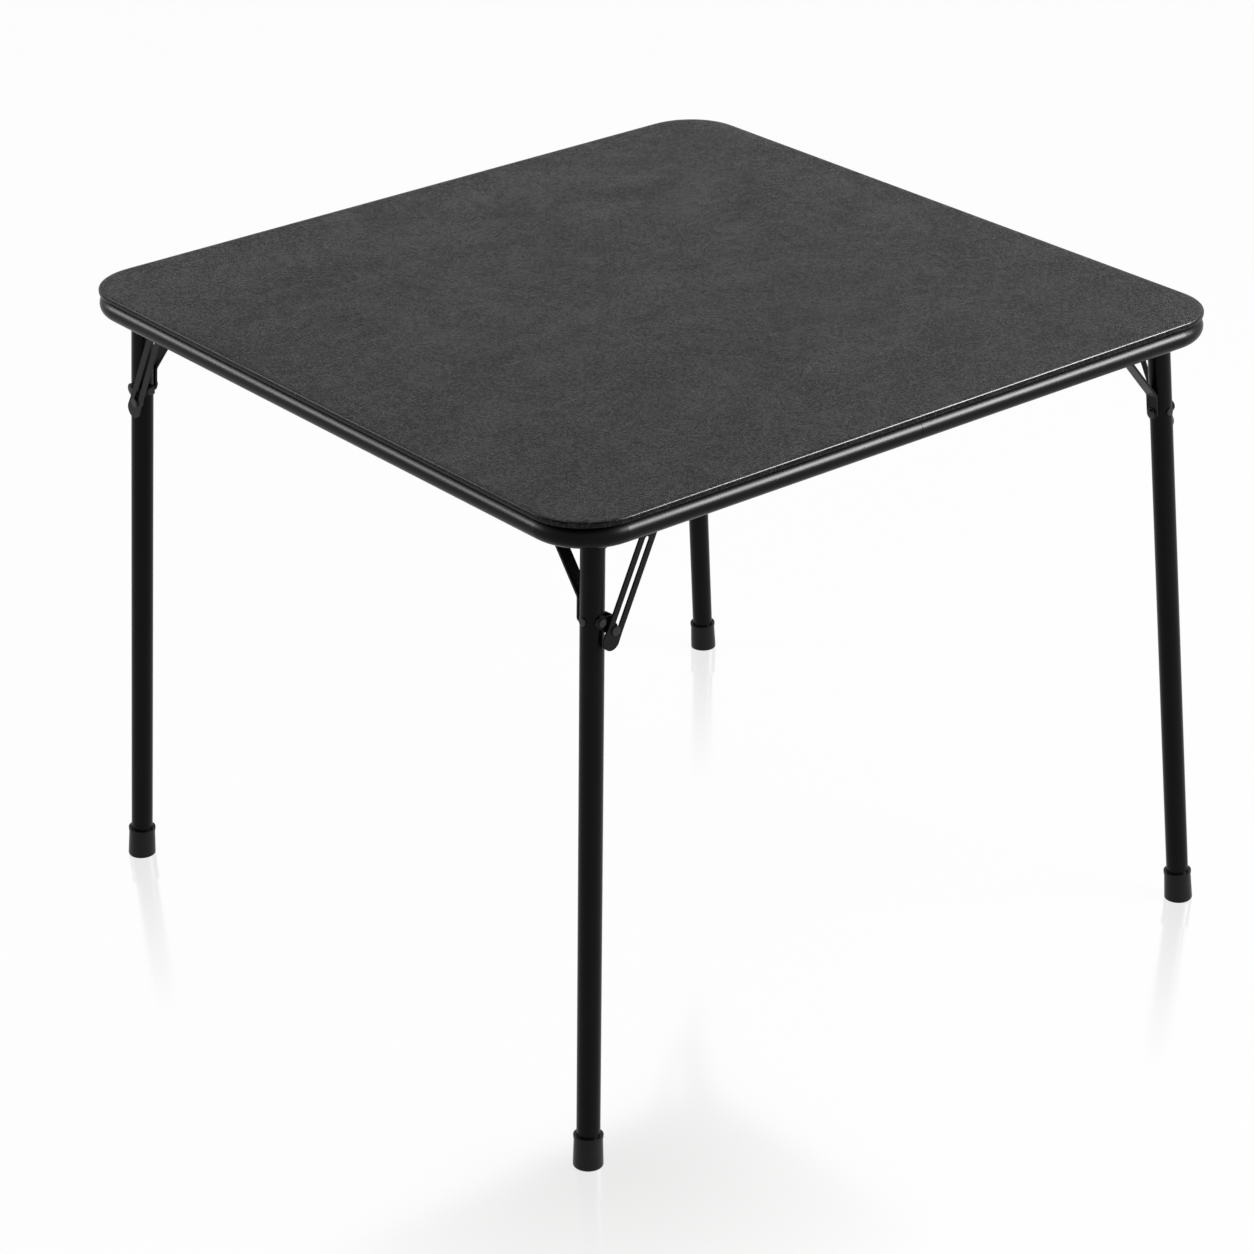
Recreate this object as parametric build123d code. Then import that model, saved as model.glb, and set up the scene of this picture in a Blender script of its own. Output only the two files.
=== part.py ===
from build123d import *

import os
from math import asin, atan2, cos, degrees, hypot, radians, sin, sqrt, tan

# Folding card table, in millimetres.
# The origin is on the floor under the middle of the top, and +Z points up.
# The four corners are named by where they stand: front is at -X -Y, right at +X -Y,
# back at +X +Y and left at -X +Y.
# Each corner carries the same set of pieces, turned a quarter turn from the last.
# A set is drawn in its own hinge frame: the origin is on the hinge axis at the middle of the leg,
# +X is the way that the leg folds, +Y runs along the hinge pin into the table, and +Z is up.

# Overall sizes
side = 864.0
height = 698.0
corner_radius = 64.0

# Top: a board and a thin foam pad, wrapped in vinyl that is turned under the edge
vinyl_thick = 0.8
foam_thick = 1.4
board_thick = 3.2
wrap_width = 14.0
top_edge_round = 2.4
bottom_edge_round = 1.6
wrap_clearance = 0.1

# Rail: one bent tube under the edge of the top, whose ends meet on an inner sleeve
rail_diameter = 24.0
rail_wall = 1.2
seam_gap = 0.5
splice_length = 90.0
splice_wall = 1.5
splice_clearance = 0.1
seat_clearance = 0.05

# Leg: a straight tube that stands a little outwards
leg_diameter = 24.0
leg_wall = 1.2
leg_above_pin = 12.0
leg_top_round = 0.4
hinge_drop = 34.5
hinge_inset_fold = 56.0
hinge_inset_side = 46.0
toe_in = 2.5
fold_splay = 45.0
side_splay = 25.0
fold_travel = 93.5

# Rubber foot
foot_height = 34.0
foot_top_diameter = 29.0
foot_bottom_diameter = 31.0
foot_lip_height = 3.0
foot_lip_stand = 0.7
foot_edge_round = 3.0
foot_sole_thick = 7.0
foot_clearance = 0.1

# Hinge bracket: a pressed channel screwed to the board, with the pin through its two ears
sheet_thick = 2.5
bracket_width = 30.0
bracket_flange_depth = 5.0
bracket_bend = 3.0
ear_radius = 7.5
ear_clearance = 1.2
pin_diameter = 6.0
pin_head_diameter = 10.0
pin_head_thick = 2.4
pin_clearance = 0.1
leg_bore_clearance = 0.15

# Screws
screw_diameter = 3.5
screw_head_diameter = 7.0
screw_head_thick = 2.0
screw_bite = 2.8
screw_clearance = 0.05
bracket_screw_spread = 20.0
bracket_screw_pitch = 34.0
rail_screw_offset = 210.0
rail_access_diameter = 9.0

# Strap: a bent strip from the leg to the inner end of the hinge pin
strap_width = 14.0
strap_thick = 2.5
strap_bend = 6.0
strap_reach = 38.0
strap_rivet_drop = 82.0
strap_flat_above = 20.0
strap_flat_below = 7.5
strap_eye_flat = 13.0
strap_clearance = 0.05

# Rivets
rivet_diameter = 5.0
rivet_head_diameter = 9.5
rivet_head_thick = 2.2
rivet_tail = 3.0
rivet_clearance = 0.05
rivet_dome_share = 0.8
washer_diameter = 12.0
washer_thick = 1.0

# Slotted brace and its stud: the brace hangs on the rail, and the leg's stud runs along its slot
brace_width = 19.0
brace_thick = 2.0
brace_offset = 21.0
brace_lean = 27.0
slot_width = 6.2
slot_clearance = 0.25
lock_seat_diameter = 7.4
lobe_radius = 10.0
lobe_length = 10.5
stud_ahead = 13.0
stud_drop = 91.0
stud_head_diameter = 10.0
stud_head_thick = 1.8
stud_gap = 0.4
head_clearance = 0.1
pivot_diameter = 6.0
pivot_head_diameter = 11.0
pivot_head_thick = 2.0
pivot_collar_diameter = 9.0
pivot_tail = 3.0

# Stud clip: a plate on the leg's outer side that carries the stud, with a tab round to the fold side
clip_round = 6.5
clip_bend = 3.0
tab_height = 10.0
tab_reach = 6.0
clip_clearance = 0.05
clip_head_diameter = 9.0
clip_head_thick = 1.5

# Cuts run past their piece by this much
overrun = 2.0

# Derived sizes
half = side / 2
slab_thick = 2 * vinyl_thick + foam_thick + board_thick
slab_bottom = height - slab_thick
board_bottom = slab_bottom + vinyl_thick
board_top = board_bottom + board_thick
rail_radius = rail_diameter / 2
rail_z = slab_bottom - seat_clearance - rail_radius
rail_line = half - rail_radius
rail_bend_radius = corner_radius - rail_radius
leg_radius = leg_diameter / 2
clip_face = leg_radius + clip_clearance + sheet_thick
pin_radius = pin_diameter / 2
rivet_radius = rivet_diameter / 2
hinge_z = height - hinge_drop
roof_z = board_bottom - hinge_z
leg_span = sqrt(fold_splay**2 + side_splay**2 + hinge_z**2)
fold_lean = degrees(atan2(fold_splay, hinge_z))
side_lean = degrees(asin(side_splay / leg_span))
ear_outer = -(leg_radius + ear_clearance + sheet_thick)
strap_eye_y = leg_radius + strap_clearance + strap_reach
ear_inner = strap_eye_y + strap_thick + ear_clearance

# A flat screw head under the rail's round wall touches it at the rim, so it sits lower by this much
rail_bore_radius = rail_radius - rail_wall
rail_screw_sag = rail_bore_radius - sqrt(rail_bore_radius**2 - (screw_head_diameter / 2) ** 2)

# The stud's place at rest and folded, seen along the hinge pin, and the brace's pivot on the rail
rest_turn = radians(fold_lean)
stud_x = stud_ahead * cos(rest_turn) - stud_drop * sin(rest_turn)
stud_z = -stud_ahead * sin(rest_turn) - stud_drop * cos(rest_turn)
pivot_z = rail_z - hinge_z
pivot_x = stud_x + (pivot_z - stud_z) * tan(radians(brace_lean))
brace_reach = hypot(pivot_x - stud_x, pivot_z - stud_z)
fold_turn = radians(fold_travel)
folded_x = stud_x * cos(fold_turn) - stud_z * sin(fold_turn)
folded_z = stud_x * sin(fold_turn) + stud_z * cos(fold_turn)
slot_near = hypot(folded_x - pivot_x, folded_z - pivot_z)
stud_radius = slot_width / 2 - slot_clearance

# The pivot's collar stops short of the rail by what the pivot's tilt lifts at its rim
collar_relief = pivot_collar_diameter / 2 * sin(radians(toe_in))

# Frames of one corner set: the leg's own line, and the brace hung from its pivot on the rail
leg_frame = Rotation(0, fold_lean, 0) * Rotation(-side_lean, 0, 0)
brace_frame = Pos(pivot_x, -brace_offset, pivot_z) * Rotation(0, brace_lean, 0)

corners = ("front", "right", "back", "left")


def corner_location(index):
    """The hinge frame of one corner: the front corner's, turned by quarter turns."""
    hinge_point = Pos(hinge_inset_fold - half, hinge_inset_side - half, hinge_z)
    return Rotation(0, 0, 90 * index) * hinge_point * Rotation(0, 0, toe_in)


def rod(radius, start, end):
    """A round bar along Z from start to end."""
    return Pos(0, 0, (start + end) / 2) * Cylinder(radius, end - start)


def tube(radius, wall, start, end):
    """A round tube along Z from start to end."""
    return rod(radius, start, end) - rod(radius - wall, start - overrun, end + overrun)


def domed(radius, thick):
    """A low domed head that stands on Z = 0."""
    head = rod(radius, 0, thick)
    return fillet(head.edges().group_by(Axis.Z)[-1], thick * rivet_dome_share)


def rounded_slab(width, radius, low, high):
    """A square plate with rounded corners, from low to high."""
    return Pos(0, 0, low) * extrude(RectangleRounded(width, width, radius), high - low)


def bent_strip(points, width, thick, bend):
    """A strip of sheet bent along a line in the YZ plane, with its width along X."""
    path = Plane.YZ * FilletPolyline(*points, radius=bend)
    section = Plane(path @ 0, x_dir=(1, 0, 0), z_dir=path % 0) * Rectangle(width, thick)
    return sweep(section, path)


def screw(length):
    """A pan-head screw whose head hangs below Z = 0 and whose shank goes up."""
    head = Rotation(180, 0, 0) * domed(screw_head_diameter / 2, screw_head_thick)
    return head + rod(screw_diameter / 2, 0, length)


# Top

def slab(inset, low, high):
    """The rounded slab, drawn in by inset on every side, between two heights."""
    block = rounded_slab(side - 2 * inset, corner_radius - inset, low, high)
    block = fillet(block.edges().group_by(Axis.Z)[-1], top_edge_round - inset)
    return fillet(block.edges().group_by(Axis.Z)[0], bottom_edge_round - inset)


def slab_core():
    """The space that the board and the foam fill inside the vinyl."""
    return slab(vinyl_thick + wrap_clearance, board_bottom, height - vinyl_thick)


def board_hole_places():
    """Where screws bite into the board from below."""
    places = [place.position for place in rail_screw_places()]
    for index in range(len(corners)):
        for spot in bracket_screw_spots():
            places.append((corner_location(index) * Pos(*spot)).position)
    return places


def make_top_board():
    board = slab_core() & rounded_slab(side, corner_radius, board_bottom, board_top)
    drill = rod(screw_diameter / 2 + screw_clearance, -overrun, screw_bite + screw_clearance)
    for place in board_hole_places():
        board -= Pos(place.X, place.Y, board_bottom) * drill
    return board


def make_foam_pad():
    return slab_core() & rounded_slab(side, corner_radius, board_top, height)


def make_vinyl_cover():
    cavity = slab(vinyl_thick, board_bottom, height - vinyl_thick)
    inner_side = side - 2 * wrap_width
    opening = rounded_slab(inner_side, corner_radius - wrap_width, slab_bottom - overrun, board_top)
    cover = slab(0, slab_bottom, height) - cavity - opening
    drill = rod(screw_diameter / 2 + screw_clearance, -overrun, overrun)
    for place in rail_screw_places():
        cover -= Pos(place.position.X, place.position.Y, slab_bottom) * drill
    return cover


# Rail

def rail_path():
    """The centre line of the rail, once round from one side of the seam to the other."""
    bend = rail_line - rail_bend_radius
    low = -rail_line
    gap = seam_gap / 2
    turn = rail_bend_radius
    edges = [Line((gap, low), (bend, low))]
    edges.append(JernArc((bend, low), (1, 0), turn, 90))
    edges.append(Line((rail_line, -bend), (rail_line, bend)))
    edges.append(JernArc((rail_line, bend), (0, 1), turn, 90))
    edges.append(Line((bend, rail_line), (-bend, rail_line)))
    edges.append(JernArc((-bend, rail_line), (-1, 0), turn, 90))
    edges.append(Line((low, bend), (low, -bend)))
    edges.append(JernArc((low, -bend), (0, -1), turn, 90))
    edges.append(Line((-bend, low), (-gap, low)))
    return Pos(0, 0, rail_z) * Wire(edges)


def rail_screw_places():
    """Two screws on each side, at the rail's own centre line."""
    spots = [Pos(share * rail_screw_offset, -rail_line, rail_z) for share in (-1, 1)]
    return [Rotation(0, 0, 90 * turn) * spot for turn in range(len(corners)) for spot in spots]


def pivot_location(index):
    """The place of a brace's pivot, with Z pointing out of the table into the rail."""
    return corner_location(index) * Pos(pivot_x, -brace_offset, pivot_z) * Rotation(90, 0, 0)


def make_rail_frame():
    path = rail_path()
    ring = Circle(rail_radius) - Circle(rail_radius - rail_wall)
    rail = sweep(Plane(path @ 0, z_dir=path % 0) * ring, path)
    access = rod(rail_access_diameter / 2, -rail_radius - overrun, 0)
    screw_hole = rod(screw_diameter / 2 + screw_clearance, 0, rail_radius + overrun)
    for place in rail_screw_places():
        rail -= place * (access + screw_hole)
    pivot_hole = rod(pivot_diameter / 2 + rivet_clearance, 0, rail_radius)
    for index in range(len(corners)):
        rail -= pivot_location(index) * pivot_hole
    return rail


def make_rail_splice():
    sleeve = tube(rail_bore_radius - splice_clearance, splice_wall, -splice_length / 2, splice_length / 2)
    return Pos(0, -rail_line, rail_z) * Rotation(0, 90, 0) * sleeve


def make_rail_screws():
    seat = rail_bore_radius - rail_screw_sag - seat_clearance
    bite = rail_radius - seat + vinyl_thick + screw_bite
    return Compound([place * Pos(0, 0, seat) * screw(bite) for place in rail_screw_places()])


# Hinge bracket and pin

def bracket_screw_spots():
    """Four screws in the bracket's roof, in the hinge frame."""
    middle = (ear_outer + ear_inner + sheet_thick) / 2
    spots = []
    for along in (-bracket_screw_pitch / 2, bracket_screw_pitch / 2):
        for across in (-bracket_screw_spread / 2, bracket_screw_spread / 2):
            spots.append((across, middle + along, roof_z - sheet_thick))
    return spots


def make_hinge_bracket():
    low = -ear_radius
    wide = ear_inner + sheet_thick - ear_outer
    middle = (ear_outer + ear_inner + sheet_thick) / 2
    tall = roof_z - low
    outer = Pos(0, middle, roof_z - tall / 2) * Box(bracket_width, wide, tall)
    outer = fillet(outer.edges().filter_by(Axis.X).group_by(Axis.Z)[-1], bracket_bend)
    inner_box = Box(bracket_width + 2 * overrun, wide - 2 * sheet_thick, tall)
    inner = Pos(0, middle, roof_z - sheet_thick - tall / 2) * inner_box
    inner = fillet(inner.edges().filter_by(Axis.X).group_by(Axis.Z)[-1], bracket_bend - sheet_thick)
    flange = Pos(0, roof_z - bracket_flange_depth / 2) * Rectangle(bracket_width, bracket_flange_depth)
    outline = make_hull(flange.edges() + Circle(ear_radius).edges())
    mask = Pos(0, ear_inner + sheet_thick + overrun, 0) * (Plane.XZ * outline)
    bracket = (outer - inner) & extrude(mask, wide + 2 * overrun)
    pin_hole = Rotation(90, 0, 0) * Cylinder(pin_radius + pin_clearance, 2 * (wide + ear_inner))
    bracket -= pin_hole
    hole = rod(screw_diameter / 2 + screw_clearance, -overrun, sheet_thick + overrun)
    for spot in bracket_screw_spots():
        bracket -= Pos(*spot) * hole
    return bracket


def make_hinge_pin():
    start = ear_outer - head_clearance
    end = ear_inner + sheet_thick + head_clearance
    head = domed(pin_head_diameter / 2, pin_head_thick)
    along = Rotation(-90, 0, 0)
    shank = along * rod(pin_radius, start, end)
    return shank + Pos(0, end, 0) * along * head + Pos(0, start, 0) * Rotation(90, 0, 0) * head


def make_bracket_screws():
    screws = []
    for index in range(len(corners)):
        for spot in bracket_screw_spots():
            screws.append(corner_location(index) * Pos(*spot) * screw(sheet_thick + screw_bite))
    return Compound(screws)


# Leg, strap, clip and foot

def pin_bore(clearance):
    """The hinge pin's bore, as the leaning leg sees it."""
    return Rotation(side_lean, 0, 0) * Rotation(90, 0, 0) * Cylinder(pin_radius + clearance, 2 * ear_inner)


def rivet_bore(length):
    return rod(rivet_radius + rivet_clearance, -length, length)


def strap_rivet_location():
    """On the strap's outer face, with Z pointing away from the leg."""
    face = leg_radius + strap_clearance + strap_thick
    return Pos(0, face, -strap_rivet_drop) * Rotation(-90, 0, 0)


def tab_rivet_location():
    """On the leg's side away from the clip's tab, with Z pointing away from the leg."""
    return Pos(-leg_radius, 0, -strap_rivet_drop) * Rotation(0, -90, 0)


def plate_rivet_location():
    """On the clip's outer face, with Z pointing away from the leg."""
    return Pos(0, -clip_face, -strap_rivet_drop) * Rotation(90, 0, 0)


def make_leg():
    bottom = -(leg_span - foot_sole_thick - foot_clearance)
    leg = tube(leg_radius, leg_wall, bottom, leg_above_pin)
    leg = fillet(leg.edges().group_by(Axis.Z)[-1], leg_top_round)
    leg -= pin_bore(leg_bore_clearance)
    leg -= strap_rivet_location() * rivet_bore(leg_radius)
    leg -= plate_rivet_location() * rivet_bore(leg_radius)
    leg -= tab_rivet_location() * rivet_bore(leg_diameter + overrun)
    return leg_frame * leg


def make_strap():
    near = leg_radius + strap_clearance + strap_thick / 2
    far = near + strap_reach
    low = -(strap_rivet_drop + strap_flat_below)
    knee = -(strap_rivet_drop - strap_flat_above)
    eye = strap_eye_y * sin(radians(side_lean))
    high = eye + strap_width / 2
    points = [(near, low), (near, knee), (far, eye - strap_eye_flat), (far, high)]
    strip = bent_strip(points, strap_width, strap_thick, strap_bend)
    face = Pos(0, (low + high) / 2) * Rotation(0, 0, 90) * SlotOverall(high - low, strap_width)
    mask = Pos(0, far + strap_thick, 0) * (Plane.XZ * face)
    strip &= extrude(mask, far + strap_thick)
    strip -= pin_bore(leg_bore_clearance)
    strip -= strap_rivet_location() * rivet_bore(leg_radius)
    return leg_frame * strip


def make_strap_rivet():
    """A blind rivet with a washer: its set tail is inside the tube."""
    rivet = rod(rivet_radius, -strap_thick - strap_clearance - leg_wall - rivet_tail, washer_thick)
    rivet += rod(washer_diameter / 2, 0, washer_thick)
    rivet += Pos(0, 0, washer_thick) * domed(rivet_head_diameter / 2, rivet_head_thick)
    return leg_frame * strap_rivet_location() * Pos(0, 0, strap_clearance) * rivet


def make_clip_rivets():
    """A blind rivet through the clip's plate and a long one through the leg and the clip's tab."""
    head = domed(clip_head_diameter / 2, clip_head_thick)
    blind = rod(rivet_radius, -sheet_thick - clip_clearance - leg_wall - rivet_tail, 0) + head
    far_end = -leg_diameter - sheet_thick - 3 * clip_clearance
    long_rivet = rod(rivet_radius, far_end, 0) + head
    long_rivet += Pos(0, 0, far_end) * Rotation(180, 0, 0) * head
    pair = [
        plate_rivet_location() * Pos(0, 0, clip_clearance) * blind,
        tab_rivet_location() * Pos(0, 0, clip_clearance) * long_rivet,
    ]
    return leg_frame * Compound(pair)


def make_stud_clip():
    """A plate against the leg from its rivet to the stud, and a tab bent round to the fold side."""
    eye = Pos(0, -strap_rivet_drop) * Circle(clip_round)
    nose = Pos(stud_ahead, -stud_drop) * Circle(clip_round)
    outline = make_hull(eye.edges() + nose.edges())
    plate = Pos(0, -clip_face + sheet_thick, 0) * extrude(Plane.XZ * outline, sheet_thick)
    middle = clip_face - sheet_thick / 2
    path = FilletPolyline((0, -middle), (middle, -middle), (middle, tab_reach), radius=clip_bend)
    start = Plane(path @ 0, x_dir=(0, 0, 1), z_dir=path % 0)
    tab = sweep(start * Rectangle(tab_height, sheet_thick), path)
    clip = plate + Pos(0, 0, -strap_rivet_drop) * tab
    clip -= plate_rivet_location() * rivet_bore(leg_radius)
    clip -= tab_rivet_location() * rivet_bore(2 * leg_diameter)
    return leg_frame * clip


def make_foot():
    top = foot_height - leg_span
    low = -leg_span - foot_bottom_diameter / 2 * sin(radians(fold_lean + side_lean))
    shell = Pos(0, 0, low) * Solid.make_cone(foot_bottom_diameter / 2, foot_top_diameter / 2, top - low)
    lip = rod(foot_top_diameter / 2 + foot_lip_stand, top - foot_lip_height, top)
    foot = fillet((shell + lip).edges().group_by(Axis.Z)[0], foot_edge_round)
    foot -= rod(leg_radius + foot_clearance, foot_sole_thick - leg_span, top + overrun)
    return leg_frame * foot


def floor_cut():
    """What lies below the floor under one foot, in the hinge frame."""
    wide = 2 * foot_bottom_diameter
    return Pos(-fold_splay, -side_splay, -hinge_z - foot_height / 2) * Box(wide, wide, foot_height)


# Brace, its pivot and the stud, drawn in the brace's frame: the slot runs along -Z from the pivot

def flat_plate(outline):
    """A sheet of the brace's thickness about Y = 0."""
    return Pos(0, brace_thick / 2, 0) * extrude(Plane.XZ * outline, brace_thick)


def make_slotted_brace():
    lobe_z = -(brace_reach + lobe_length)
    eye = Circle(brace_width / 2)
    waist = Pos(0, -brace_reach) * Circle(brace_width / 2)
    bars = make_hull(eye.edges() + waist.edges())
    lobe = make_hull(waist.edges() + (Pos(0, lobe_z) * Circle(lobe_radius)).edges())
    slot_middle = -(slot_near + brace_reach) / 2
    slot = Pos(0, slot_middle) * Rotation(0, 0, 90) * SlotCenterToCenter(brace_reach - slot_near, slot_width)
    seat = Pos(0, -brace_reach) * Circle(lock_seat_diameter / 2)
    pivot = Circle(pivot_diameter / 2 + leg_bore_clearance)
    return brace_frame * flat_plate(bars + lobe - slot - seat - pivot)


def make_lock_stud():
    """A headed stud that lies in the end of the slot and reaches in to the clip."""
    outer = brace_thick / 2 + head_clearance
    clip_outside = clip_face * cos(radians(side_lean)) + stud_drop * sin(radians(side_lean))
    stud = rod(stud_radius, clip_outside + stud_gap - brace_offset, outer)
    stud += Pos(0, 0, outer) * domed(stud_head_diameter / 2, stud_head_thick)
    return brace_frame * Pos(0, 0, -brace_reach) * Rotation(90, 0, 0) * stud


def make_brace_pivot(index):
    """A headed pin from the rail's inner wall through the brace, with a collar between them."""
    radial = rail_line_distance()
    collar_end = radial - rail_radius - seat_clearance
    inner = -brace_thick / 2 - head_clearance
    collar_start = brace_thick / 2 + head_clearance
    pin = rod(pivot_diameter / 2, inner, radial - rail_radius + rail_wall + pivot_tail)
    pin += rod(pivot_collar_diameter / 2, collar_start, collar_end - collar_relief)
    pin += Pos(0, 0, inner) * Rotation(180, 0, 0) * domed(pivot_head_diameter / 2, pivot_head_thick)
    return pivot_location(index) * pin


def rail_line_distance():
    """How far the rail's centre line lies from the brace's middle plane, along the pivot."""
    turn = radians(toe_in)
    pivot_inset = hinge_inset_side + pivot_x * sin(turn) - brace_offset * cos(turn)
    return (pivot_inset - rail_radius) / cos(turn)


def write_node(name, shape):
    export_step(shape, os.path.join("parts", name + ".step"))


def main():
    os.makedirs("parts", exist_ok=True)
    write_node("top_board", make_top_board())
    write_node("foam_pad", make_foam_pad())
    write_node("vinyl_cover", make_vinyl_cover())
    write_node("rail_frame", make_rail_frame())
    write_node("rail_splice", make_rail_splice())
    write_node("rail_screws", make_rail_screws())
    write_node("bracket_screws", make_bracket_screws())
    corner_pieces = {
        "hinge_bracket": make_hinge_bracket(),
        "hinge_pin": make_hinge_pin(),
        "leg": make_leg(),
        "strap": make_strap(),
        "strap_rivet": make_strap_rivet(),
        "stud_clip": make_stud_clip(),
        "clip_rivets": make_clip_rivets(),
        "foot": make_foot() - floor_cut(),
        "slotted_brace": make_slotted_brace(),
        "lock_stud": make_lock_stud(),
    }
    for index, corner in enumerate(corners):
        for piece, shape in corner_pieces.items():
            write_node(piece + "_" + corner, corner_location(index) * shape)
        write_node("brace_pivot_" + corner, make_brace_pivot(index))


if __name__ == "__main__":
    main()
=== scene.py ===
"""A square folding card table: padded vinyl top, black tube rail and four folding legs."""

import math

import bmesh
import bpy
from bpy.props import FloatProperty, FloatVectorProperty, PointerProperty
from bpy.types import Operator, Panel, PropertyGroup
from mathutils import Matrix, Vector, noise


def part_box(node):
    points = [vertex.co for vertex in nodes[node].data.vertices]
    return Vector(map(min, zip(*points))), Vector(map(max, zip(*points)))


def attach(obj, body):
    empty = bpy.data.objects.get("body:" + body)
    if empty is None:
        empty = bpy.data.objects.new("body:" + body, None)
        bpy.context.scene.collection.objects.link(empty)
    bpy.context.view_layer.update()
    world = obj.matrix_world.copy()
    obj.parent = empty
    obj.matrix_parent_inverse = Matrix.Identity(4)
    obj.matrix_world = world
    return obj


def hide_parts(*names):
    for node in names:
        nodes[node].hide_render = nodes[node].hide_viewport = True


bl_info = {
    "name": "Folding card table",
    "version": (1, 0, 0),
    "blender": (4, 5, 0),
    "location": "3D View > Sidebar > Card table",
    "description": "Finishes and soft pieces of a square folding card table",
    "category": "Object",
}

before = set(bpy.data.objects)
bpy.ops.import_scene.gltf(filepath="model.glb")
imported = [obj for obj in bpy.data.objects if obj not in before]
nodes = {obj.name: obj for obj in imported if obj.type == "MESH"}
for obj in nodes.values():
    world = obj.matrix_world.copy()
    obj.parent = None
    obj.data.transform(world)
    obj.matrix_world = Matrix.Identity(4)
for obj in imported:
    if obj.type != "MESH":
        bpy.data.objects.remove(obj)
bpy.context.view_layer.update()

# Pieces that share a finish; those of the last two rows come once at each corner
CORNERS = ("front", "right", "back", "left")
RAIL = ("rail_frame", "rail_splice")
FITTINGS = ("hinge_bracket", "strap", "stud_clip", "slotted_brace")
RIVETS = ("hinge_pin", "strap_rivet", "clip_rivets", "lock_stud", "brace_pivot")

# Steps in the meshes of the soft top
CORNER_STEPS = 14
SIDE_STEPS = 28
FLAT_ROWS = 22
EDGE_ROWS = 6
TOP_ROLL_STEPS = 8
BOTTOM_ROLL_STEPS = 6
LAP_ROWS = 4

# Lengths inside the soft top, in metres
INNER_RING = 0.02  # half the width of the sheet's innermost ring
ROW_ROOM = 0.004  # least room between the wide rows and those at the edge
LEAST_CORNER = 0.006  # corner radius of the innermost rings
RIPPLE_FADE = 0.05  # how far in from the edge the ripple has its full height
FOAM_PLAY = 0.0003  # room between the foam and the sheets round it
FOAM_INNER = 0.03  # inset of the foam's innermost ring
FOAM_PRESSED = 0.012  # inset where the edge starts to press the foam
FOAM_BULGE = 0.001  # how far the foam's edge swells out

# The ripple's place in the noise
RIPPLES_PER_METRE = 9
RIPPLE_SLICE = 1.7

# Proportions of a wood screw
SCREW_SIDES = 40
CROWN_STEPS = 10
RIM_SHARE = 0.35  # height of the head's rim, as a share of the whole head
SHANK_CHAMFER = 0.0002
BLANK_LENGTH = 1  # longer than any shank, as each is cut off at its own place
RECESS_WIDTH = 0.28  # width of the cross's arms, as a share of their span
RECESS_TAPER = 0.7  # floor of the recess, as a share of its mouth
RECESS_CUT = 0.0028  # height of the cutter, half of which goes into the head
SCREW_TURN = 2.4  # angle from each screw's cross to the next one's
SHARP_EDGE = math.radians(35)

# Lamps, with their places, widths and heights in metres
LAMPS = {
    "lamp_right": ((2.15, -2.75, 1.95), 2.0, 1.15),
    "lamp_left": ((-2.5, 2.6, 1.5), 1.6, 1.2),
    "glint_right": ((4.1, -4.85, 3.1), 2.6, 2.4),
    "glint_left": ((-2.7, 2.8, 1.65), 1.9, 1.0),
    "rim_glint_right": ((3.2, -1.2, 4.3), 2.2, 1.6),
    "rim_glint_left": ((-1.2, 3.6, 3.7), 2.0, 1.2),
}
LAMPS_AIM = (0.1, -0.2, 0.6)

FLOOR_REACH = 14.0
SENSOR_WIDTH = 36
VIEW_DEPTH = 100
WHITE = (1, 1, 1)


# Sizes and colours that a user may change

def length(name, description, default):
    """A length in metres, with the unit shown."""
    return FloatProperty(
        name=name, description=description, default=default, subtype="DISTANCE", unit="LENGTH",
        precision=4,
    )


def colour(name, description, default):
    """A colour without alpha."""
    return FloatVectorProperty(
        name=name, description=description, default=default, subtype="COLOR", size=3, min=0, max=1,
    )


def share(name, description, default):
    """A plain number from nought to one."""
    return FloatProperty(name=name, description=description, default=default, min=0, max=1)


def angle(name, description, degrees):
    """An angle, written in degrees."""
    return FloatProperty(
        name=name, description=description, default=math.radians(degrees), subtype="ANGLE",
    )


def power(name, description, default):
    """A lamp's power in watts."""
    return FloatProperty(name=name, description=description, default=default, subtype="POWER")


class TopSizes(PropertyGroup):
    """The padded top."""

    side: length("Side", "Width of the square top", 0.864)
    height: length("Height", "Floor to the top of the vinyl", 0.698)
    slab: length("Slab thickness", "Vinyl, foam, board and vinyl together", 0.0062)
    corner_radius: length("Corner radius", "Rounding of the corners seen from above", 0.064)
    vinyl: length("Vinyl thickness", "Thickness of the vinyl sheet", 0.0008)
    foam: length("Foam thickness", "Thickness of the foam under the vinyl", 0.0014)
    top_round: length("Top edge rounding", "Roll of the upper edge", 0.0024)
    bottom_round: length("Bottom edge rounding", "Roll of the lower edge", 0.0016)
    lap: length("Lap width", "How far the vinyl runs in under the board", 0.014)
    edge_draw: length("Edge draw-down", "How far the vinyl presses the foam at the edge", 0.0004)
    draw_reach: length("Draw-down reach", "How far in from the edge the foam is pressed", 0.005)
    ripple: length("Foam ripple", "Height of the foam's faint ripple", 0.00012)


class ScrewSizes(PropertyGroup):
    """The wood screws under the table."""

    head: length("Head", "Diameter of the pan head", 0.007)
    head_depth: length("Head depth", "Height of the pan head", 0.002)
    shank: length("Shank", "Diameter of the shank", 0.0035)
    recess: length("Recess", "Span of the cross recess", 0.0048)


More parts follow.
